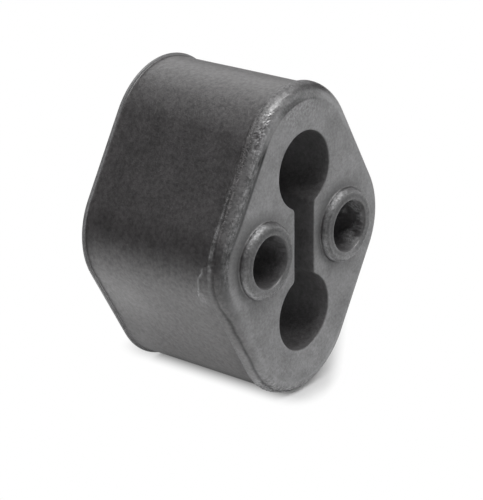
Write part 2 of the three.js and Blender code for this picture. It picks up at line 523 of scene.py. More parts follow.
profile_objects = {name: profile_object(name + "_profile", points) for name, points in profiles.items()}
print("profile objects:", sorted(profile_objects))

# %% [markdown]
# ## One tree for every wall
# Curve to Mesh could sweep a profile, but it says little about where each point came from. This tree
# builds a grid instead, with one column for each step round the path and one row for each point of the
# profile. Sample Curve finds the place and the direction on the path, and Sample Index finds the row's
# point. The direction out of the rubber follows by a cross product, so nothing depends on mesh normals and
# the first and last columns meet exactly.

# %% Geometry Nodes: the grid, and places on the path


def grid_of_steps(tree, columns, rows):
    count = add(tree, "FunctionNodeIntegerMath", {0: columns, 1: 1}, operation="ADD").outputs[0]
    grid = add(tree, "GeometryNodeMeshGrid", {"Vertices X": count, "Vertices Y": rows}).outputs["Mesh"]
    index = add(tree, "GeometryNodeInputIndex").outputs[0]
    row = add(tree, "FunctionNodeIntegerMath", {0: index, 1: rows}, operation="MODULO").outputs[0]
    column = add(tree, "FunctionNodeIntegerMath", {0: index, 1: rows}, operation="DIVIDE_FLOOR").outputs[0]
    share = add(tree, "ShaderNodeMath", {0: column, 1: columns}, operation="DIVIDE").outputs[0]
    return grid, row, share


def spot_on_path(tree, path, share):
    spot = add(tree, "GeometryNodeSampleCurve", {"Curves": path, "Factor": share}, mode="FACTOR",
               use_all_curves=True).outputs
    outward = add(tree, "ShaderNodeVectorMath", {0: (0, 1, 0), 1: spot["Tangent"]},
                  operation="CROSS_PRODUCT").outputs[0]
    outward = add(tree, "ShaderNodeVectorMath", {0: outward}, operation="NORMALIZE").outputs[0]
    return spot["Position"], outward


def off_path(tree, outward, pair):
    parts = add(tree, "ShaderNodeSeparateXYZ", {0: pair}).outputs
    out = add(tree, "ShaderNodeVectorMath", {0: outward, "Scale": parts["X"]}, operation="SCALE").outputs[0]
    deep = add(tree, "ShaderNodeCombineXYZ", {"Y": parts["Y"]}).outputs[0]
    return add(tree, "ShaderNodeVectorMath", {0: out, 1: deep}, operation="ADD").outputs[0]


# %% Geometry Nodes: values from the profile, and the ripple of a moulding


def row_of_profile(tree, profile, row):
    values = [(add(tree, "GeometryNodeInputPosition").outputs[0], "FLOAT_VECTOR")]
    for name, kind in (("way_out", "FLOAT_VECTOR"), ("matte", "FLOAT")):
        value = add(tree, "GeometryNodeInputNamedAttribute", {"Name": name}, data_type=kind).outputs[0]
        values.append((value, kind))
    return [add(tree, "GeometryNodeSampleIndex", {"Geometry": profile, "Value": value, "Index": row},
                data_type=kind).outputs[0] for value, kind in values]


def ripple(tree, place, given):
    scale = add(tree, "ShaderNodeMath", {0: 1.0, 1: given["Ripple Size"]}, operation="DIVIDE").outputs[0]
    waves = add(tree, "ShaderNodeTexNoise", {"Vector": place, "W": given["Seed"], "Scale": scale,
                                             "Detail": 3.0}, noise_dimensions="4D").outputs[0]
    inward = add(tree, "ShaderNodeMath", {0: waves, 1: 1.0}, operation="SUBTRACT").outputs[0]
    return add(tree, "ShaderNodeMath", {0: inward, 1: given["Ripple Height"]},
               operation="MULTIPLY").outputs[0]


# %% [markdown]
# The whole tree puts these together. It moves each vertex of the grid to its place, sinks it a little with
# the ripple, except on a matte face, and stores three facts for later: the direction out of the rubber
# (`lift`), the place on the path (`spot`) and `matte`.

# %% Geometry Nodes: carry a profile round a path
WALL_INPUTS = {
    "Path": "NodeSocketObject", "Profile": "NodeSocketObject", "Columns": "NodeSocketInt",
    "Ripple Height": "NodeSocketFloat", "Ripple Size": "NodeSocketFloat", "Seed": "NodeSocketFloat",
    "Rubber": "NodeSocketMaterial",
}


def wall_tree():
    tree = bpy.data.node_groups.new("carry_profile_round_path", "GeometryNodeTree")
    for name, kind in WALL_INPUTS.items():
        tree.interface.new_socket(name, in_out="INPUT", socket_type=kind)
    tree.interface.new_socket("Wall", in_out="OUTPUT", socket_type="NodeSocketGeometry")
    given = tree.nodes.new("NodeGroupInput").outputs
    path = add(tree, "GeometryNodeObjectInfo", {"Object": given["Path"]}).outputs["Geometry"]
    profile = add(tree, "GeometryNodeObjectInfo", {"Object": given["Profile"]}).outputs["Geometry"]
    rows = add(tree, "GeometryNodeAttributeDomainSize", {"Geometry": profile}).outputs["Point Count"]
    grid, row, share = grid_of_steps(tree, given["Columns"], rows)
    spot, outward = spot_on_path(tree, path, share)

    point, way_out, matte = row_of_profile(tree, profile, row)
    place = add(tree, "ShaderNodeVectorMath", {0: spot, 1: off_path(tree, outward, point)},
                operation="ADD").outputs[0]
    lift = off_path(tree, outward, way_out)
    shiny = add(tree, "ShaderNodeMath", {0: 1.0, 1: matte}, operation="SUBTRACT").outputs[0]
    sunk = add(tree, "ShaderNodeMath", {0: ripple(tree, place, given), 1: shiny}, operation="MULTIPLY")
    offset = add(tree, "ShaderNodeVectorMath", {0: lift, "Scale": sunk.outputs[0]}, operation="SCALE")
    wall = add(tree, "GeometryNodeSetPosition", {"Geometry": grid, "Position": place,
                                                 "Offset": offset.outputs[0]}).outputs[0]
    facts = (("lift", lift, "FLOAT_VECTOR"), ("spot", spot, "FLOAT_VECTOR"), ("matte", matte, "FLOAT"))
    for name, value, kind in facts:
        wall = add(tree, "GeometryNodeStoreNamedAttribute", {"Geometry": wall, "Name": name, "Value": value},
                   data_type=kind).outputs[0]
    wall = add(tree, "GeometryNodeFlipFaces", {"Mesh": wall}).outputs[0]
    wall = add(tree, "GeometryNodeMergeByDistance", {"Geometry": wall, "Distance": 0.001 * MM}).outputs[0]
    wall = add(tree, "GeometryNodeSetShadeSmooth", {"Geometry": wall}).outputs[0]
    wall = add(tree, "GeometryNodeRealizeInstances", {"Geometry": wall}).outputs[0]
    wall = add(tree, "GeometryNodeSetMaterial", {"Geometry": wall, "Material": given["Rubber"]}).outputs[0]
    add(tree, "NodeGroupOutput", {"Wall": wall})
    return tree


carry = wall_tree()
print("wall tree nodes:", len(carry.nodes))

# %% [markdown]
# ## The finish of the rubber
# Carbon black makes the rubber a very dark grey, but a face that was moulded against a blasted plate
# scatters light and looks pale, while the sides, drawn along polished steel, keep a satin shine. The
# `matte` attribute blends the two, so the change of finish follows the shape exactly.
#
# Four more attributes are written on the walls further down, where the wear is and where light and shade
# are painted. The first makes the dark rubber pale, for wear and as painted light, the second lightens or
# darkens it, mostly as painted light and shade, the third roughens it with specks and the last sharpens
# its shine.
#
# Four patterns of noise go with them, each with the size that it has on the real block. The slow mottle is
# the faint bloom that rubber sweats out, the speckle is its orange peel, and the blotches are the grain
# that the steel leaves on the sides. The plate's own grain is about 0.1 mm, too fine for any pixel here, so
# it is drawn at 0.45 mm.

# %% What the rubber reads, with the size, detail and roughness of each pattern
MARKS = ("matte", "wear_and_painted_light", "tone_and_painted_light", "torn", "polish")
PATTERNS = {
    "mottle": (5.0 * MM, 5.0, 0.6),
    "speckle": (0.6 * MM, 3.0, 0.7),
    "blotch": (0.9 * MM, 3.0, 0.65),
    "grain": (0.45 * MM, 2.0, 0.5),
}
# The painted shadow beside each boss is centred left of and above its bore.
BOSS_SHADE_SHIFT = -2.0 * MM
BOSS_SHADE_Z = 1.4 * MM
BOSS_SHADE_X = {"from_left_boss": BOSS_SHADE_SHIFT - BORE_X, "from_right_boss": BOSS_SHADE_SHIFT + BORE_X}


def rubber_readings(tree):
    found = {name: add(tree, "ShaderNodeAttribute", attribute_name=name).outputs["Fac"] for name in MARKS}
    place = add(tree, "ShaderNodeTexCoord").outputs["Object"]
    for name, (size, detail, roughness) in PATTERNS.items():
        found[name] = add(tree, "ShaderNodeTexNoise", {"Vector": place, "Scale": 1 / size, "Detail": detail,
                                                       "Roughness": roughness}).outputs["Fac"]
    found["height"] = add(tree, "ShaderNodeSeparateXYZ", {0: place}).outputs["Z"]
    flat = add(tree, "ShaderNodeVectorMath", {0: place, 1: (1, 0, 1)}, operation="MULTIPLY").outputs[0]
    for name, x in BOSS_SHADE_X.items():
        found[name] = add(tree, "ShaderNodeVectorMath", {0: flat, 1: (x, 0, BOSS_SHADE_Z)},
                          operation="DISTANCE").outputs["Value"]
    for name, first, second, operation in (("pale", "matte", "wear_and_painted_light", "MAXIMUM"),
                                           ("cloudy", "mottle", "speckle", "ADD")):
        found[name] = add(tree, "ShaderNodeMath", {0: found[first], 1: found[second]},
                          operation=operation).outputs[0]
    return found


print("patterns in mm:", {name: round(pattern[0] / MM, 2) for name, pattern in PATTERNS.items()})

# %% [markdown]
# Map Range nodes turn the readings into factors. The colour varies with the bloom and the blotches, and it
# is lighter towards the foot of the block, with dust and painted light from the table. The face carries a
# painted shadow right beside each boss, where less light gets in. The sheen and the roughness vary a little
# too, and the lightness and the sheen follow the painted light and shade of the walls. The bloom reads two
# patterns added up, so its range lies around 1 and not around a half.

# %% Factors, as the reading, the range that counts and what it becomes
NOISE_MIDDLE = (0.35, 0.65)
BESIDE_BOSS = (6.3 * MM, 9.6 * MM)
BOSS_SHADE = (0.42, 1.0)
FACTORS = {
    "bloom": ("cloudy", (0.7, 1.3), (0.58, 1.42)),
    "specks": ("speckle", (0.38, 0.62), (0.55, 1.5)),
    "blotches": ("blotch", NOISE_MIDDLE, (0.8, 1.2)),
    # Painted shadow on the face beside each boss.
    "left_boss": ("from_left_boss", BESIDE_BOSS, BOSS_SHADE),
    "right_boss": ("from_right_boss", BESIDE_BOSS, BOSS_SHADE),
    # Lighter towards the foot: dust and painted light from the table.
    "dust_and_painted_light": ("height", (-8 * MM, -30 * MM), (1.0, 1.3)),
    # Lightness and sheen follow the painted light and shade on the walls, and their paler torn strands.
    "lightness": ("tone_and_painted_light", (-1, 1), (0.0, 2.0)),
    "sheen": ("tone_and_painted_light", (-1, 1), (0.2, 1.8)),
    "sheen_blotches": ("blotch", NOISE_MIDDLE, (0.78, 1.22)),
    "roughness_change": ("mottle", (0, 1), (-0.06, 0.06)),
}


def add_factors(tree, found):
    for name, (reading, (low, high), (least, most)) in FACTORS.items():
        given = {"Value": found[reading], "From Min": low, "From Max": high, "To Min": least, "To Max": most}
        found[name] = add(tree, "ShaderNodeMapRange", given).outputs["Result"]


print("factors:", len(FACTORS))

# %% [markdown]
# The shade is a grey factor for the colour. Specks belong to torn rubber, blotches to the dark sides and
# the painted shadow of a boss to the matte face, so a mix with 1 keeps each of them to its own place. The
# lightness brings in the painted light and shade of the walls.

# %% Shade of the rubber


def rubber_shade(tree, found):
    factors = [found["dust_and_painted_light"], found["lightness"]]
    for place, elsewhere, there in (
        (found["torn"], 1.0, found["specks"]),
        (found["pale"], found["blotches"], 1.0),
        (found["matte"], 1.0, found["left_boss"]),
        (found["matte"], 1.0, found["right_boss"]),
    ):
        factors.append(add(tree, "ShaderNodeMix", {0: place, 2: elsewhere, 3: there}).outputs[0])
    shade = found["bloom"]
    for factor in factors:
        shade = add(tree, "ShaderNodeMath", {0: shade, 1: factor}, operation="MULTIPLY").outputs[0]
    return shade


# %% [markdown]
# Bumps catch the light where a colour alone would look printed. Torn rubber gets the deepest ones.

# %% Bumps of the rubber
GRAIN_HEIGHT = 0.02 * MM
ORANGE_PEEL_HEIGHT = 0.05 * MM
TORN_HEIGHT = 0.20 * MM


def rubber_bumps(tree, found):
    grain = add(tree, "ShaderNodeMath", {0: found["grain"], 1: GRAIN_HEIGHT}, operation="MULTIPLY").outputs[0]
    uneven = add(tree, "ShaderNodeMath", {0: found["torn"], 1: TORN_HEIGHT, 2: ORANGE_PEEL_HEIGHT},
                 operation="MULTIPLY_ADD").outputs[0]
    height = add(tree, "ShaderNodeMath", {0: found["speckle"], 1: uneven, 2: grain},
                 operation="MULTIPLY_ADD").outputs[0]
    return add(tree, "ShaderNodeBump", {"Height": height, "Distance": 1.0, "Strength": 1.0}).outputs[0]


print("bumps in mm, grain and torn:", GRAIN_HEIGHT / MM, TORN_HEIGHT / MM)

# %% [markdown]
# The material puts it all together: moulded EPDM rubber, whose carbon black gives the eye a deep grey with
# a soft, wide sheen. Its refractive index is a little above that of plain rubber, as in a skin rich in
# oils, and the sheen varies with the same blotches as the colour.

# %% Colour, roughness and sheen of the rubber
SIDE_RUBBER = "#302d2e"
FACE_RUBBER = "#676768"
SIDE_ROUGHNESS, FACE_ROUGHNESS = 0.42, 0.75
POLISHED = 0.62
RUBBER_IOR = 1.68


def rubber_colour(tree, found):
    base = add(tree, "ShaderNodeMix", {0: found["pale"], 6: linear(SIDE_RUBBER), 7: linear(FACE_RUBBER)},
               data_type="RGBA").outputs[2]
    return add(tree, "ShaderNodeVectorMath", {0: base, "Scale": rubber_shade(tree, found)},
               operation="SCALE").outputs[0]


def rubber_roughness(tree, found):
    smooth = add(tree, "ShaderNodeMix", {0: found["pale"], 2: SIDE_ROUGHNESS, 3: FACE_ROUGHNESS})
    rough = add(tree, "ShaderNodeMath", {0: smooth.outputs[0], 1: found["roughness_change"]}, operation="ADD")
    polished = add(tree, "ShaderNodeMix", {0: found["polish"], 2: 1.0, 3: POLISHED})
    return add(tree, "ShaderNodeMath", {0: rough.outputs[0], 1: polished.outputs[0]},
               operation="MULTIPLY").outputs[0]


def rubber_sheen(tree, found):
    blotchy = add(tree, "ShaderNodeMix", {0: found["pale"], 2: found["sheen_blotches"], 3: 1.0})
    return add(tree, "ShaderNodeMath", {0: blotchy.outputs[0], 1: found["sheen"]},
               operation="MULTIPLY").outputs[0]


# %% The rubber from its parts


def make_rubber():
    material = bpy.data.materials.new("moulded_epdm_rubber")
    material.use_nodes = True
    tree = material.node_tree
    found = rubber_readings(tree)
    add_factors(tree, found)
    sockets = tree.nodes["Principled BSDF"].inputs
    tree.links.new(rubber_colour(tree, found), sockets["Base Color"])
    tree.links.new(rubber_roughness(tree, found), sockets["Roughness"])
    tree.links.new(rubber_sheen(tree, found), sockets["Specular IOR Level"])
    tree.links.new(rubber_bumps(tree, found), sockets["Normal"])
    sockets["IOR"].default_value = RUBBER_IOR
    return material


rubber = make_rubber()
print("rubber:", rubber.name)

# %% [markdown]
# ## The four walls
# The tree runs once for each wall with its own path and profile. Its result is turned into a plain mesh
# straight away, because the next steps work on single vertices.

# %% Walls from the tree, as path, profile, columns, ripple height, ripple size and seed
WALLS = {
    "outside": ("block", "outside", 800, 0.05 * MM, 7 * MM, 1.0),
    "dumbbell": ("dumbbell", "dumbbell", 320, 0.04 * MM, 5 * MM, 2.0),
    "left_bore": ("left_bore", "bore", 128, 0.03 * MM, 3 * MM, 3.0),
    "right_bore": ("right_bore", "bore", 128, 0.03 * MM, 3 * MM, 4.0),
}


def carried_wall(name, path, profile, columns, ripple_height, ripple_size, seed):
    wall = bpy.data.objects.new(name + "_wall", bpy.data.meshes.new(name + "_start"))
    bpy.context.scene.collection.objects.link(wall)
    modifier = wall.modifiers.new("carry_profile", "NODES")
    modifier.node_group = carry
    given = {"Path": paths[path], "Profile": profile_objects[profile], "Columns": columns,
             "Ripple Height": ripple_height, "Ripple Size": ripple_size, "Seed": seed, "Rubber": rubber}
    for item in carry.interface.items_tree:
        if item.in_out == "INPUT":
            modifier[item.identifier] = given[item.name]
    graph = bpy.context.evaluated_depsgraph_get()
    mesh = bpy.data.meshes.new_from_object(wall.evaluated_get(graph))
    wall.modifiers.remove(modifier)
    wall.data = mesh
    return wall


walls = {name: carried_wall(name, *given) for name, given in WALLS.items()}
for helper in [*paths.values(), *profile_objects.values()]:
    bpy.data.objects.remove(helper)
print("wall faces:", {name: len(wall.data.polygons) for name, wall in walls.items()})

# %% [markdown]
# ## Ragged rubber along the mould line
# Where the front plate of the mould closed on its body, rubber crept into the gap and tore when the block
# was pulled out. Each effect below is a height along the `lift` direction that the tree stored, together
# with marks for the rubber's material. The masks follow from where a vertex lies and not from its number,
# so a finer grid would get the same wear.
#
# Three small curves make every mask. `rise` goes smoothly from 0 to 1, `hump` is 1 in its middle and 0 at
# its ends, and `wobble` is noise of a given size. A product of masks keeps only the place where all of
# them are high.

# %% Reading a wall, and the curves for masks


def read(mesh, name):
    layer = mesh.attributes[name]
    width, key = (3, "vector") if layer.data_type == "FLOAT_VECTOR" else (1, "value")
    values = np.empty(len(layer.data) * width)
    layer.data.foreach_get(key, values)
    return values.reshape(-1, width) if width == 3 else values


def places(mesh):
    values = np.empty(len(mesh.vertices) * 3)
    mesh.vertices.foreach_get("co", values)
    return values.reshape(-1, 3)


def wobble(points, size, seed):
    shift = Vector((7.3, 3.1, 5.7)) * seed
    return np.array([noise.noise(Vector(p) / size + shift) for p in points])


def rise(low, high, values):
    t = np.clip((values - low) / (high - low), 0, 1)
    return t * t * (3 - 2 * t)


def hump(centre, half_width, values):
    return 1 - rise(0, half_width, np.abs(values - centre))


print("rise from 0 to 4, at 1, 2 and 3:", rise(0, 4, np.array([1, 2, 3])))

# %% [markdown]
# Every effect is a dictionary that may hold a height in millimetres and any of the four marks. One
# function adds up the effects of a wall, moves its vertices and stores the marks as vertex attributes.

# %% Dress a wall with its effects
MARK_LIMITS = {"wear_and_painted_light": (0, 1), "tone_and_painted_light": (-1, 1), "torn": (0, 1), "polish": (0, 1)}


def dress(wall, effects):
    mesh = wall.data

    def total(name):
        return sum(effect.get(name, 0) for effect in effects) + np.zeros(len(mesh.vertices))

    height = total("height")
    moved = places(mesh) + read(mesh, "lift") * height[:, None] * MM
    mesh.vertices.foreach_set("co", moved.ravel())
    for name, (least, most) in MARK_LIMITS.items():
        layer = mesh.attributes.new(name, "FLOAT", "POINT")
        layer.data.foreach_set("value", np.clip(total(name), least, most))
    print(wall.name, "lifted in mm:", round(height.min(), 3), "to", round(height.max(), 3))


# %% [markdown]
# The masks of the outside need to know where a vertex lies: how far ahead of the crease behind the front
# lip, how far out of the block's outline, how high, and whether on the left, which is the side that tore.
# All of it is measured once, in millimetres, so that the masks below hold plain numbers.

# %% Where the vertices of the outside lie


def outside_measures(wall):
    place, spot = places(wall.data) / MM, read(wall.data, "spot") / MM
    ring = spot * np.array([1, 0, 1])
    off = place - spot
    at = SimpleNamespace(place=place, ring=ring, x=ring[:, 0], y=place[:, 1], z=ring[:, 2])
    at.out = np.hypot(off[:, 0], off[:, 2]) * np.sign((off * ring).sum(axis=1))
    at.ahead = FRONT_CREASE / MM - at.y
    at.left = rise(-2, 4, -at.x)
    at.up, at.low = rise(1, 12, at.z), rise(1, 12, -at.z)
    at.front = rise(-0.1, 0.1, at.ahead)
    at.lip = at.front * (1 - rise(2.2, 2.5, -at.out))
    at.gap = wobble(ring, 3.5, 3)
    at.below_streak = at.left * at.front * (1 - rise(22, 26, at.z))
    return at


outside = outside_measures(walls["outside"])
print("outside, mm ahead of the crease:", round(outside.ahead.min(), 2), "to", round(outside.ahead.max(), 2))

# %% [markdown]
# The lip carries a groove where its rubber folded over, and a faint seam beside the face. Both follow the
# lip and waver a little. The groove moves towards the face at the lower left, and breaks off further up.

# %% Groove and seam of the lip
GROOVE_AHEAD = 1.3
GROOVE_HALF_WIDTH = 0.42
GROOVE_DEPTH = 0.17
SEAM_INWARD = 2.35
SEAM_HALF_WIDTH = 0.55
SEAM_DEPTH = 0.07


def lip_lines(at):
    centre = GROOVE_AHEAD - 0.6 * at.up + 0.8 * at.low - 0.15 * at.gap
    half = GROOVE_HALF_WIDTH - 0.05 * at.up + 0.08 * at.low
    groove = hump(0, 1, (at.ahead - centre) / half) * at.left * (1 - rise(13, 18, at.z))
    groove *= 1 - at.up * (1 - rise(-0.4, 0.1, at.gap))
    seam = hump(SEAM_INWARD, SEAM_HALF_WIDTH, 0.1 * at.gap - at.out) * rise(3, 12, at.z) * at.below_streak
    depth = (GROOVE_DEPTH - 0.04 * at.up - 0.04 * at.low) * groove + SEAM_DEPTH * seam
    return {"height": -depth, "tone_and_painted_light": -(0.3 + 0.35 * at.low) * groove - 0.2 * seam}


lines = lip_lines(outside)
print("groove and seam, deepest in mm:", round(-lines["height"].min(), 3))

# %% [markdown]
# The outer edge of the lip and its top are paler, partly from wear and partly as painted light, and the
# inner edge carries painted shade, which reaches the face just inside the top. At the upper left the edge is
# polished. A broken painted glint with torn specks widens its bright streak, and the lip carries painted
# shade beside it.

# %% Wear, painted light and shade, and shine of the lip


def lip_wear_and_painted_light(at):
    inward = -at.out
    inner_painted_shade = rise(0.7 * at.up - 0.2, 1.0 * at.up + 0.8, inward)
    inner_painted_shade *= (1 - rise(1.6 + 0.9 * at.up, 2.25 + 0.6 * at.up, inward)) * rise(-12, 0, at.z) * at.below_streak
    outer = rise(-0.45, 0.1, inward) * (1 - rise(1.2, 1.6, inward)) * at.up * at.below_streak
    crown = rise(29, 31, at.z) * (1 - rise(3, 8, at.x)) * at.front
    crown_painted_shade = crown * rise(-0.1, 0.8, inward) * (1 - rise(2.5, 2.85, inward))
    painted_shade_beside_streak = rise(1.2, 1.8, inward) * (1 - rise(2.5, 2.9, inward)) * rise(18, 24, at.z) * at.left
    # Painted shade on the inner edge, at the top and beside the streak; the outer edge and the top are paler,
    # from wear and painted light.
    tone_and_painted_light = -0.5 * inner_painted_shade - 0.4 * crown_painted_shade - 0.3 * painted_shade_beside_streak * at.front
    return {"wear_and_painted_light": 0.28 * outer + 0.35 * crown, "tone_and_painted_light": tone_and_painted_light, "torn": 0.5 * crown}


def lip_shine(at):
    inward = -at.out
    # Painted highlight: broken pale patches that widen the streak on the lip.
    painted_glint = hump(25.5, 6.5, at.z) * at.left * at.lip * rise(-0.4, 0.1, inward)
    painted_glint *= (1 - rise(1.0, 1.8, inward)) * rise(-0.4, 0.4, wobble(at.place, 0.5, 9))
    polish = at.lip * rise(21, 25, at.z) * rise(-0.4, 0.2, inward)
    return {"wear_and_painted_light": 0.6 * painted_glint, "tone_and_painted_light": 0.3 * painted_glint, "torn": 0.5 * painted_glint, "polish": polish}


lip_paint_and_wear, shine = lip_wear_and_painted_light(outside), lip_shine(outside)
print("points of the polished lip:", int((shine["polish"] > 0.5).sum()))

# %% [markdown]
# Where the rubber tore off, the lip is crumbly: bumps of two sizes, and strands that run along the lip,
# made by noise that is stretched that way. The lowest point of the lip, where the block stands, is as
# rough.

# %% Torn rubber on the lip
CRUMB_HEIGHT = 0.05
FOOT_CRUMB_HEIGHT = 0.10


def torn_lip(at):
    rough = wobble(at.place, 0.7, 1) + 0.6 * wobble(at.place, 0.35, 2)
    band = rise(0.1, 0.6, -at.out) * (1 - rise(1.7, 2.1, -at.out))
    band *= at.left * rise(-5, 4, at.z) * (1 - rise(22, 27, at.z))
    ragged = rise(0, 0.2, at.ahead) * (1 - rise(1.3, 1.9, at.ahead)) * rise(-4, 6, at.z) * at.left
    along = np.stack([at.ahead, 2 * at.out, 0.3 * at.z], axis=1)
    strands = wobble(along, 0.5, 11) * np.clip(band + ragged, 0, 1)
    foot = rise(25, 28, -at.z) * rise(-0.5, 0.2, at.ahead) * (1 - rise(0.6, 1.6, -at.out))
    crumbs = CRUMB_HEIGHT * (rough * band + strands)
    crumbs += FOOT_CRUMB_HEIGHT * rough * foot * rise(-6, 0, -at.x)
    return {"height": crumbs, "tone_and_painted_light": 0.5 * strands, "torn": 0.8 * band + foot + 0.7 * ragged}


tear = torn_lip(outside)
print("crumbs in mm:", round(tear["height"].min(), 3), "to", round(tear["height"].max(), 3))

# %% [markdown]
# The flash is a thin skin of rubber on the side, just behind the crease. It is a narrow, uneven line,
# except at the left corner, where it widens into a skirt with a curled edge and pale scales below it. Its
# width is a value for each place on the outline, and a vertex is covered when it lies less far behind the
# crease. The ridge of the lip, just ahead of the crease, is rubbed pale in the same broken way.

# %% Flash behind the lip
FLASH_HEIGHT = 0.12
FLASH_WIDTH = 0.30
SKIRT_WIDTH = 1.9
CURL_HEIGHT = 0.25
CURL_HALF_WIDTH = 0.42
FLASH_LIMIT = RAGGED_DEPTH / MM - 0.4


def flash_width(at, skirt):
    ragged = (1.6 * wobble(at.ring, 1.7, 4) + 0.8 * wobble(at.ring, 0.6, 5)) * (1 - 0.7 * skirt)
    narrow = FLASH_WIDTH * (1 + ragged) * (1 - 0.8 * at.low * (1 - skirt))
    wide = SKIRT_WIDTH + 0.25 * np.clip(-at.z, -1, 5) + 0.5 * wobble(at.ring, 1.6, 6)
    return np.clip(narrow + wide * skirt, 0, FLASH_LIMIT)


def flash(at):
    skirt = rise(-2.2, -0.9, -at.z) * (1 - rise(5, 8.5, -at.z)) * rise(15, 19, -at.x)
    width, behind = flash_width(at, skirt), -at.ahead
    covered = (1 - rise(-0.12, 0.12, behind - width)) * rise(-0.02, 0.1, behind) * rise(0.05, 0.25, width)
    curl = hump(0, CURL_HALF_WIDTH, behind - width + 0.2) * rise(0.5, 1.2, width) * (behind > 0)
    curl *= rise(-6.5, -4.5, at.z) * rise(-1.6, -0.6, -at.z)
    ridge = rise(0.05, 0.3, at.ahead) * (1 - rise(0.7, 1.1, at.ahead)) * hump(2, 18, at.z) * at.left
    scales = hump(-5.5, 3, at.z) * at.left * hump(2.6, 2.2, behind)
    uneven = 0.8 + (0.9 - 0.5 * at.low) * wobble(at.ring, 0.7, 7)
    broken = rise(-0.3, 0.3, wobble(at.ring, 0.8, 10))
    height = FLASH_HEIGHT * uneven * covered * (1 - 0.5 * skirt) + CURL_HEIGHT * curl * (0.8 + 0.4 * at.gap)
    line = (0.4 * covered * (1 - skirt) + 0.6 * ridge) * (0.4 + 0.9 * broken)
    wear_and_painted_light = 1.1 * curl * (0.6 + 0.4 * broken) + line + 0.4 * scales
    return {"height": height, "wear_and_painted_light": wear_and_painted_light, "tone_and_painted_light": 0.45 * curl + 0.5 * scales, "torn": scales}


skin = flash(outside)
print("points with flash:", int((skin["height"] > FLASH_HEIGHT / 3).sum()))

# %% [markdown]
# The side is not quite flat, since a thick moulding sinks a little as it cools. Its lower left is polished
# by handling and painted lighter, as a reflection of the table, and so is the side near the rear foot. The
# lowest part of the lip is painted pale, as light from the table, and the rear rim on the left carries a
# painted highlight. The part beside the lower lip is painted shade, and so is the front of the underside,
# which hardly gets any light.

# %% Sides and foot
SINK_HEIGHT = 0.05


def side_finish(at):
    plain = rise(0.5, 4, -at.ahead) * rise(0.5, 4, REAR_CREASE / MM - at.y)
    sink = SINK_HEIGHT * wobble(at.place * np.array([1, 0.4, 1]), 9, 8) * plain
    foot = at.lip * rise(10, 29, -at.z)
    patch = hump(-13, 10, at.z) * rise(-4, 14, at.y) * at.left
    painted_shade_beside_lip = at.low * (1 - rise(1, 5, -at.ahead)) * (at.ahead < 0)
    painted_shade_under = rise(26.5, 29, -at.z) * rise(0.02, 0.1, -at.ahead) * (1 - rise(8, 13, at.y))
    # The rear rim on the left: painted highlight.
    painted_rim_light = rise(-0.1, 0.1, at.y - REAR_CREASE / MM) * at.left
    painted_light_rear_foot = rise(16, 24, -at.z) * rise(4, 15, at.y) * at.left
    # Painted light on the lip's foot, the lower left, the rear rim and the rear foot; painted shade beside
    # the lower lip and under the front.
    tone_and_painted_light = 0.25 * foot + 0.3 * patch - 0.2 * painted_shade_beside_lip - 0.8 * painted_shade_under + 0.3 * painted_rim_light + 0.2 * painted_light_rear_foot
    wear_and_painted_light = foot + 0.2 * patch + 0.4 * painted_rim_light + 0.35 * painted_light_rear_foot
    return {"height": sink, "wear_and_painted_light": wear_and_painted_light, "tone_and_painted_light": tone_and_painted_light, "polish": 0.8 * patch}


dress(walls["outside"], [lines, lip_paint_and_wear, shine, tear, skin, side_finish(outside)])

# %% [markdown]
# ## Wear and painted light at the openings
# The walls of the openings carry pale dust where the steel pins of the mould were, together with painted
# light, most of it deep inside, where shade falls, and painted shade where a wall faces up. In each bore
# some flakes are torn from the wall near its mouth, more of them in the right one. What a vertex needs to
# know here is its distance from the wall, its depth below the end of the boss, and its direction round the
# bore, in degrees from +X towards +Z.

# %% Where the vertices of an opening lie


def opening_measures(wall):
    place, spot = places(wall.data) / MM, read(wall.data, "spot") / MM
    at = SimpleNamespace(place=place, matte=read(wall.data, "matte"))
    at.x, at.z = place[:, 0] - spot[:, 0].mean(), place[:, 2]
    at.out = np.hypot(*(place - spot)[:, [0, 2]].T)
    at.past_face = np.abs(place[:, 1]) - FACE / MM
    at.depth = BOSS_HEIGHT / MM - at.past_face
    at.angle = np.arctan2(at.z, at.x)
    return at


def towards(at, degrees):
    return np.cos(at.angle - math.radians(degrees))


bores = {name: opening_measures(walls[name]) for name in ("left_bore", "right_bore")}
print("deepest point of a bore in mm:", round(bores["left_bore"].depth.max(), 2))

# %% Bore walls: dust and painted light, and flakes on the inner right
DUST_AND_PAINTED_LIGHT = 0.33
PAINTED_SHADE_FACING_UP_WAY = -52


def bore_wall(at, tear, seed):
    on_wall = 1 - rise(0.02, 0.06, at.out)
    patch = wobble(at.place * np.array([1, 0.5, 1]), 1.8, seed) + 0.5 * wobble(at.place, 0.6, seed + 2)
    torn_to = 3.2 + 7 * patch
    flakes = (1 - rise(-0.5, 0.5, at.depth - torn_to)) * rise(0.4, 0.8, at.depth) * on_wall * rise(0, 4, at.x)
    # Less dust and painted light where the wall faces up, which paints it darker.
    painted_shade_facing_up = rise(0.2, 1.0, towards(at, PAINTED_SHADE_FACING_UP_WAY)) * rise(0.4, 1, at.depth)
    wear_and_painted_light = DUST_AND_PAINTED_LIGHT * (1.5 + 2.6 * rise(4, 12, at.depth) - 1.0 * painted_shade_facing_up) * on_wall + 4 * tear * flakes
    return {"height": tear * flakes, "wear_and_painted_light": wear_and_painted_light, "torn": 5 * tear * flakes}


print("dust on the walls:", DUST_AND_PAINTED_LIGHT)

# %% [markdown]
# The end of each boss is a flat ring between two rounds. The ring has sunk a little and is a touch darker.
# The rounds have a pale finish, painted lighter towards the lower left and painted shade towards the upper
# left and the right. The mouth carries a painted highlight at its upper left, and the shoulder there, which
# is the most polished, a broken painted glint.

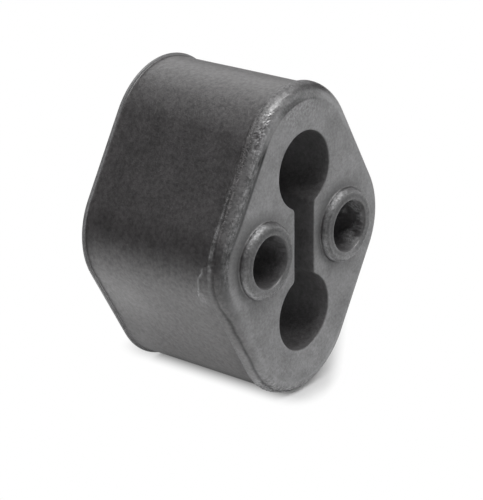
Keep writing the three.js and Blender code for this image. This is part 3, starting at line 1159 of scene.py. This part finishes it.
# %% Boss ends
BOSS_PALE = 0.55
RING_SINK = 0.06
PAINTED_RIM_LIGHT_WAY = 126
PAINTED_GLINT_WAY = 117.5
PAINTED_SHADE_WAY = 149
PAINTED_LIGHT_WAY = -115
PAINTED_SHADE_RIGHT_WAY = -29


def boss_end(at, seed):
    beyond_face = rise(0.3, 0.6, at.past_face)
    # Painted highlight on the mouth's rim at the upper left.
    painted_rim_light = hump(0.22, 0.28, at.out) * (1 - rise(0.4, 0.7, at.depth)) * rise(-0.3, 0.5, towards(at, PAINTED_RIM_LIGHT_WAY))
    ring = rise(0.5, 0.8, at.out) * (1 - rise(1.2, 1.7, at.out)) * (1 - rise(0, 0.3, at.depth))
    shoulder = rise(1.0, 1.6, at.out) * beyond_face
    # Painted glint on the shoulder at the upper left.
    painted_glint = rise(1.5, 1.9, at.out) * (1 - rise(1.3, 1.7, at.depth)) * (at.place[:, 1] < 0)
    painted_glint *= rise(0.88, 0.99, towards(at, PAINTED_GLINT_WAY)) * rise(-0.4, 0.4, wobble(at.place, 0.5, seed + 3))
    # Painted light towards the lower left, painted shade towards the upper left and the right.
    light = rise(0.2, 1.0, towards(at, PAINTED_LIGHT_WAY))
    dark = 0.1 * rise(0.2, 1.0, towards(at, PAINTED_SHADE_WAY)) + 0.25 * rise(0.3, 1.0, towards(at, PAINTED_SHADE_RIGHT_WAY))
    end = rise(0.1, 0.3, at.out) * beyond_face
    rough = (1 + wobble(at.place, 1.4, seed + 1)) / 2
    return {"height": -RING_SINK * (ring + rough * shoulder * (1 - at.matte)),
            "wear_and_painted_light": (BOSS_PALE + 0.4 * light) * shoulder + painted_rim_light + painted_glint,
            "tone_and_painted_light": 0.6 * painted_rim_light + 0.7 * painted_glint - 0.1 * ring + (0.35 * light - 0.05 - dark) * end,
            "torn": 0.25 * shoulder + 0.35 * end,
            "polish": 0.7 * shoulder}


BORE_TEARS = {"left_bore": (0.05, 11), "right_bore": (0.18, 12)}
for name, (flake_height, seed) in BORE_TEARS.items():
    dress(walls[name], [bore_wall(bores[name], flake_height, seed), boss_end(bores[name], seed)])

# %% Dumbbell walls: dust and painted light, with painted shade where a lobe faces up
DUMBBELL_ROUGHNESS = 0.02


def dumbbell_wall(at):
    below_centre = np.sign(at.z) * LOBE_Z / MM - at.z
    # Painted shade on the lower part of each lobe, where its wall faces up.
    painted_shade_facing_up = rise(1, 6, below_centre) * rise(6.5, 8, np.abs(at.z)) * rise(0.1, 0.5, -at.past_face)
    rough = (1 + wobble(at.place * np.array([1, 0.3, 1]), 2.5, 14)) * (1 - at.matte)
    wear_and_painted_light = DUST_AND_PAINTED_LIGHT * (1.2 + 1.2 * rise(3, 14, -at.past_face) - 0.7 * painted_shade_facing_up)
    return {"height": -DUMBBELL_ROUGHNESS * rough, "wear_and_painted_light": wear_and_painted_light, "tone_and_painted_light": -0.2 * painted_shade_facing_up}


dress(walls["dumbbell"], [dumbbell_wall(opening_measures(walls["dumbbell"]))])

# %% [markdown]
# ## Front and rear faces
# The walls end in flat strips on both faces. Filling between all those edges at once gives each face its
# four openings, and welding makes the block one closed shell, which is what a solid moulding is.

# %% Fill the faces and weld


def close_block(parts, name):
    with bpy.context.temp_override(active_object=parts[0], selected_editable_objects=parts):
        bpy.ops.object.join()
    block = parts[0]
    block.name = name
    shell = bmesh.new()
    shell.from_mesh(block.data)
    for side in (-1, 1):
        rims = [edge for edge in shell.edges if edge.is_boundary and edge.verts[0].co.y * side > 0]
        bmesh.ops.triangle_fill(shell, edges=rims, use_beauty=True, normal=(0, side, 0))
    bmesh.ops.remove_doubles(shell, verts=shell.verts, dist=0.0001 * MM)
    bmesh.ops.recalc_face_normals(shell, faces=shell.faces)
    open_edges = sum(not edge.is_manifold for edge in shell.edges)
    for face in shell.faces:
        face.smooth = True
        face.material_index = 0
    print("triangles:", sum(len(face.verts) - 2 for face in shell.faces), "open edges:", open_edges)
    print("volume in cm3:", round(shell.calc_volume(signed=True) * 1e6, 2))
    shell.to_mesh(block.data)
    shell.free()
    block.data.materials.clear()
    block.data.materials.append(rubber)
    return block


hanger = close_block(list(walls.values()), "dressed_hanger_block")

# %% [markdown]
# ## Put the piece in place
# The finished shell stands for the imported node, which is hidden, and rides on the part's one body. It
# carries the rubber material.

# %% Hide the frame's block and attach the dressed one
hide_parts("hanger_block")
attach(hanger, "root")
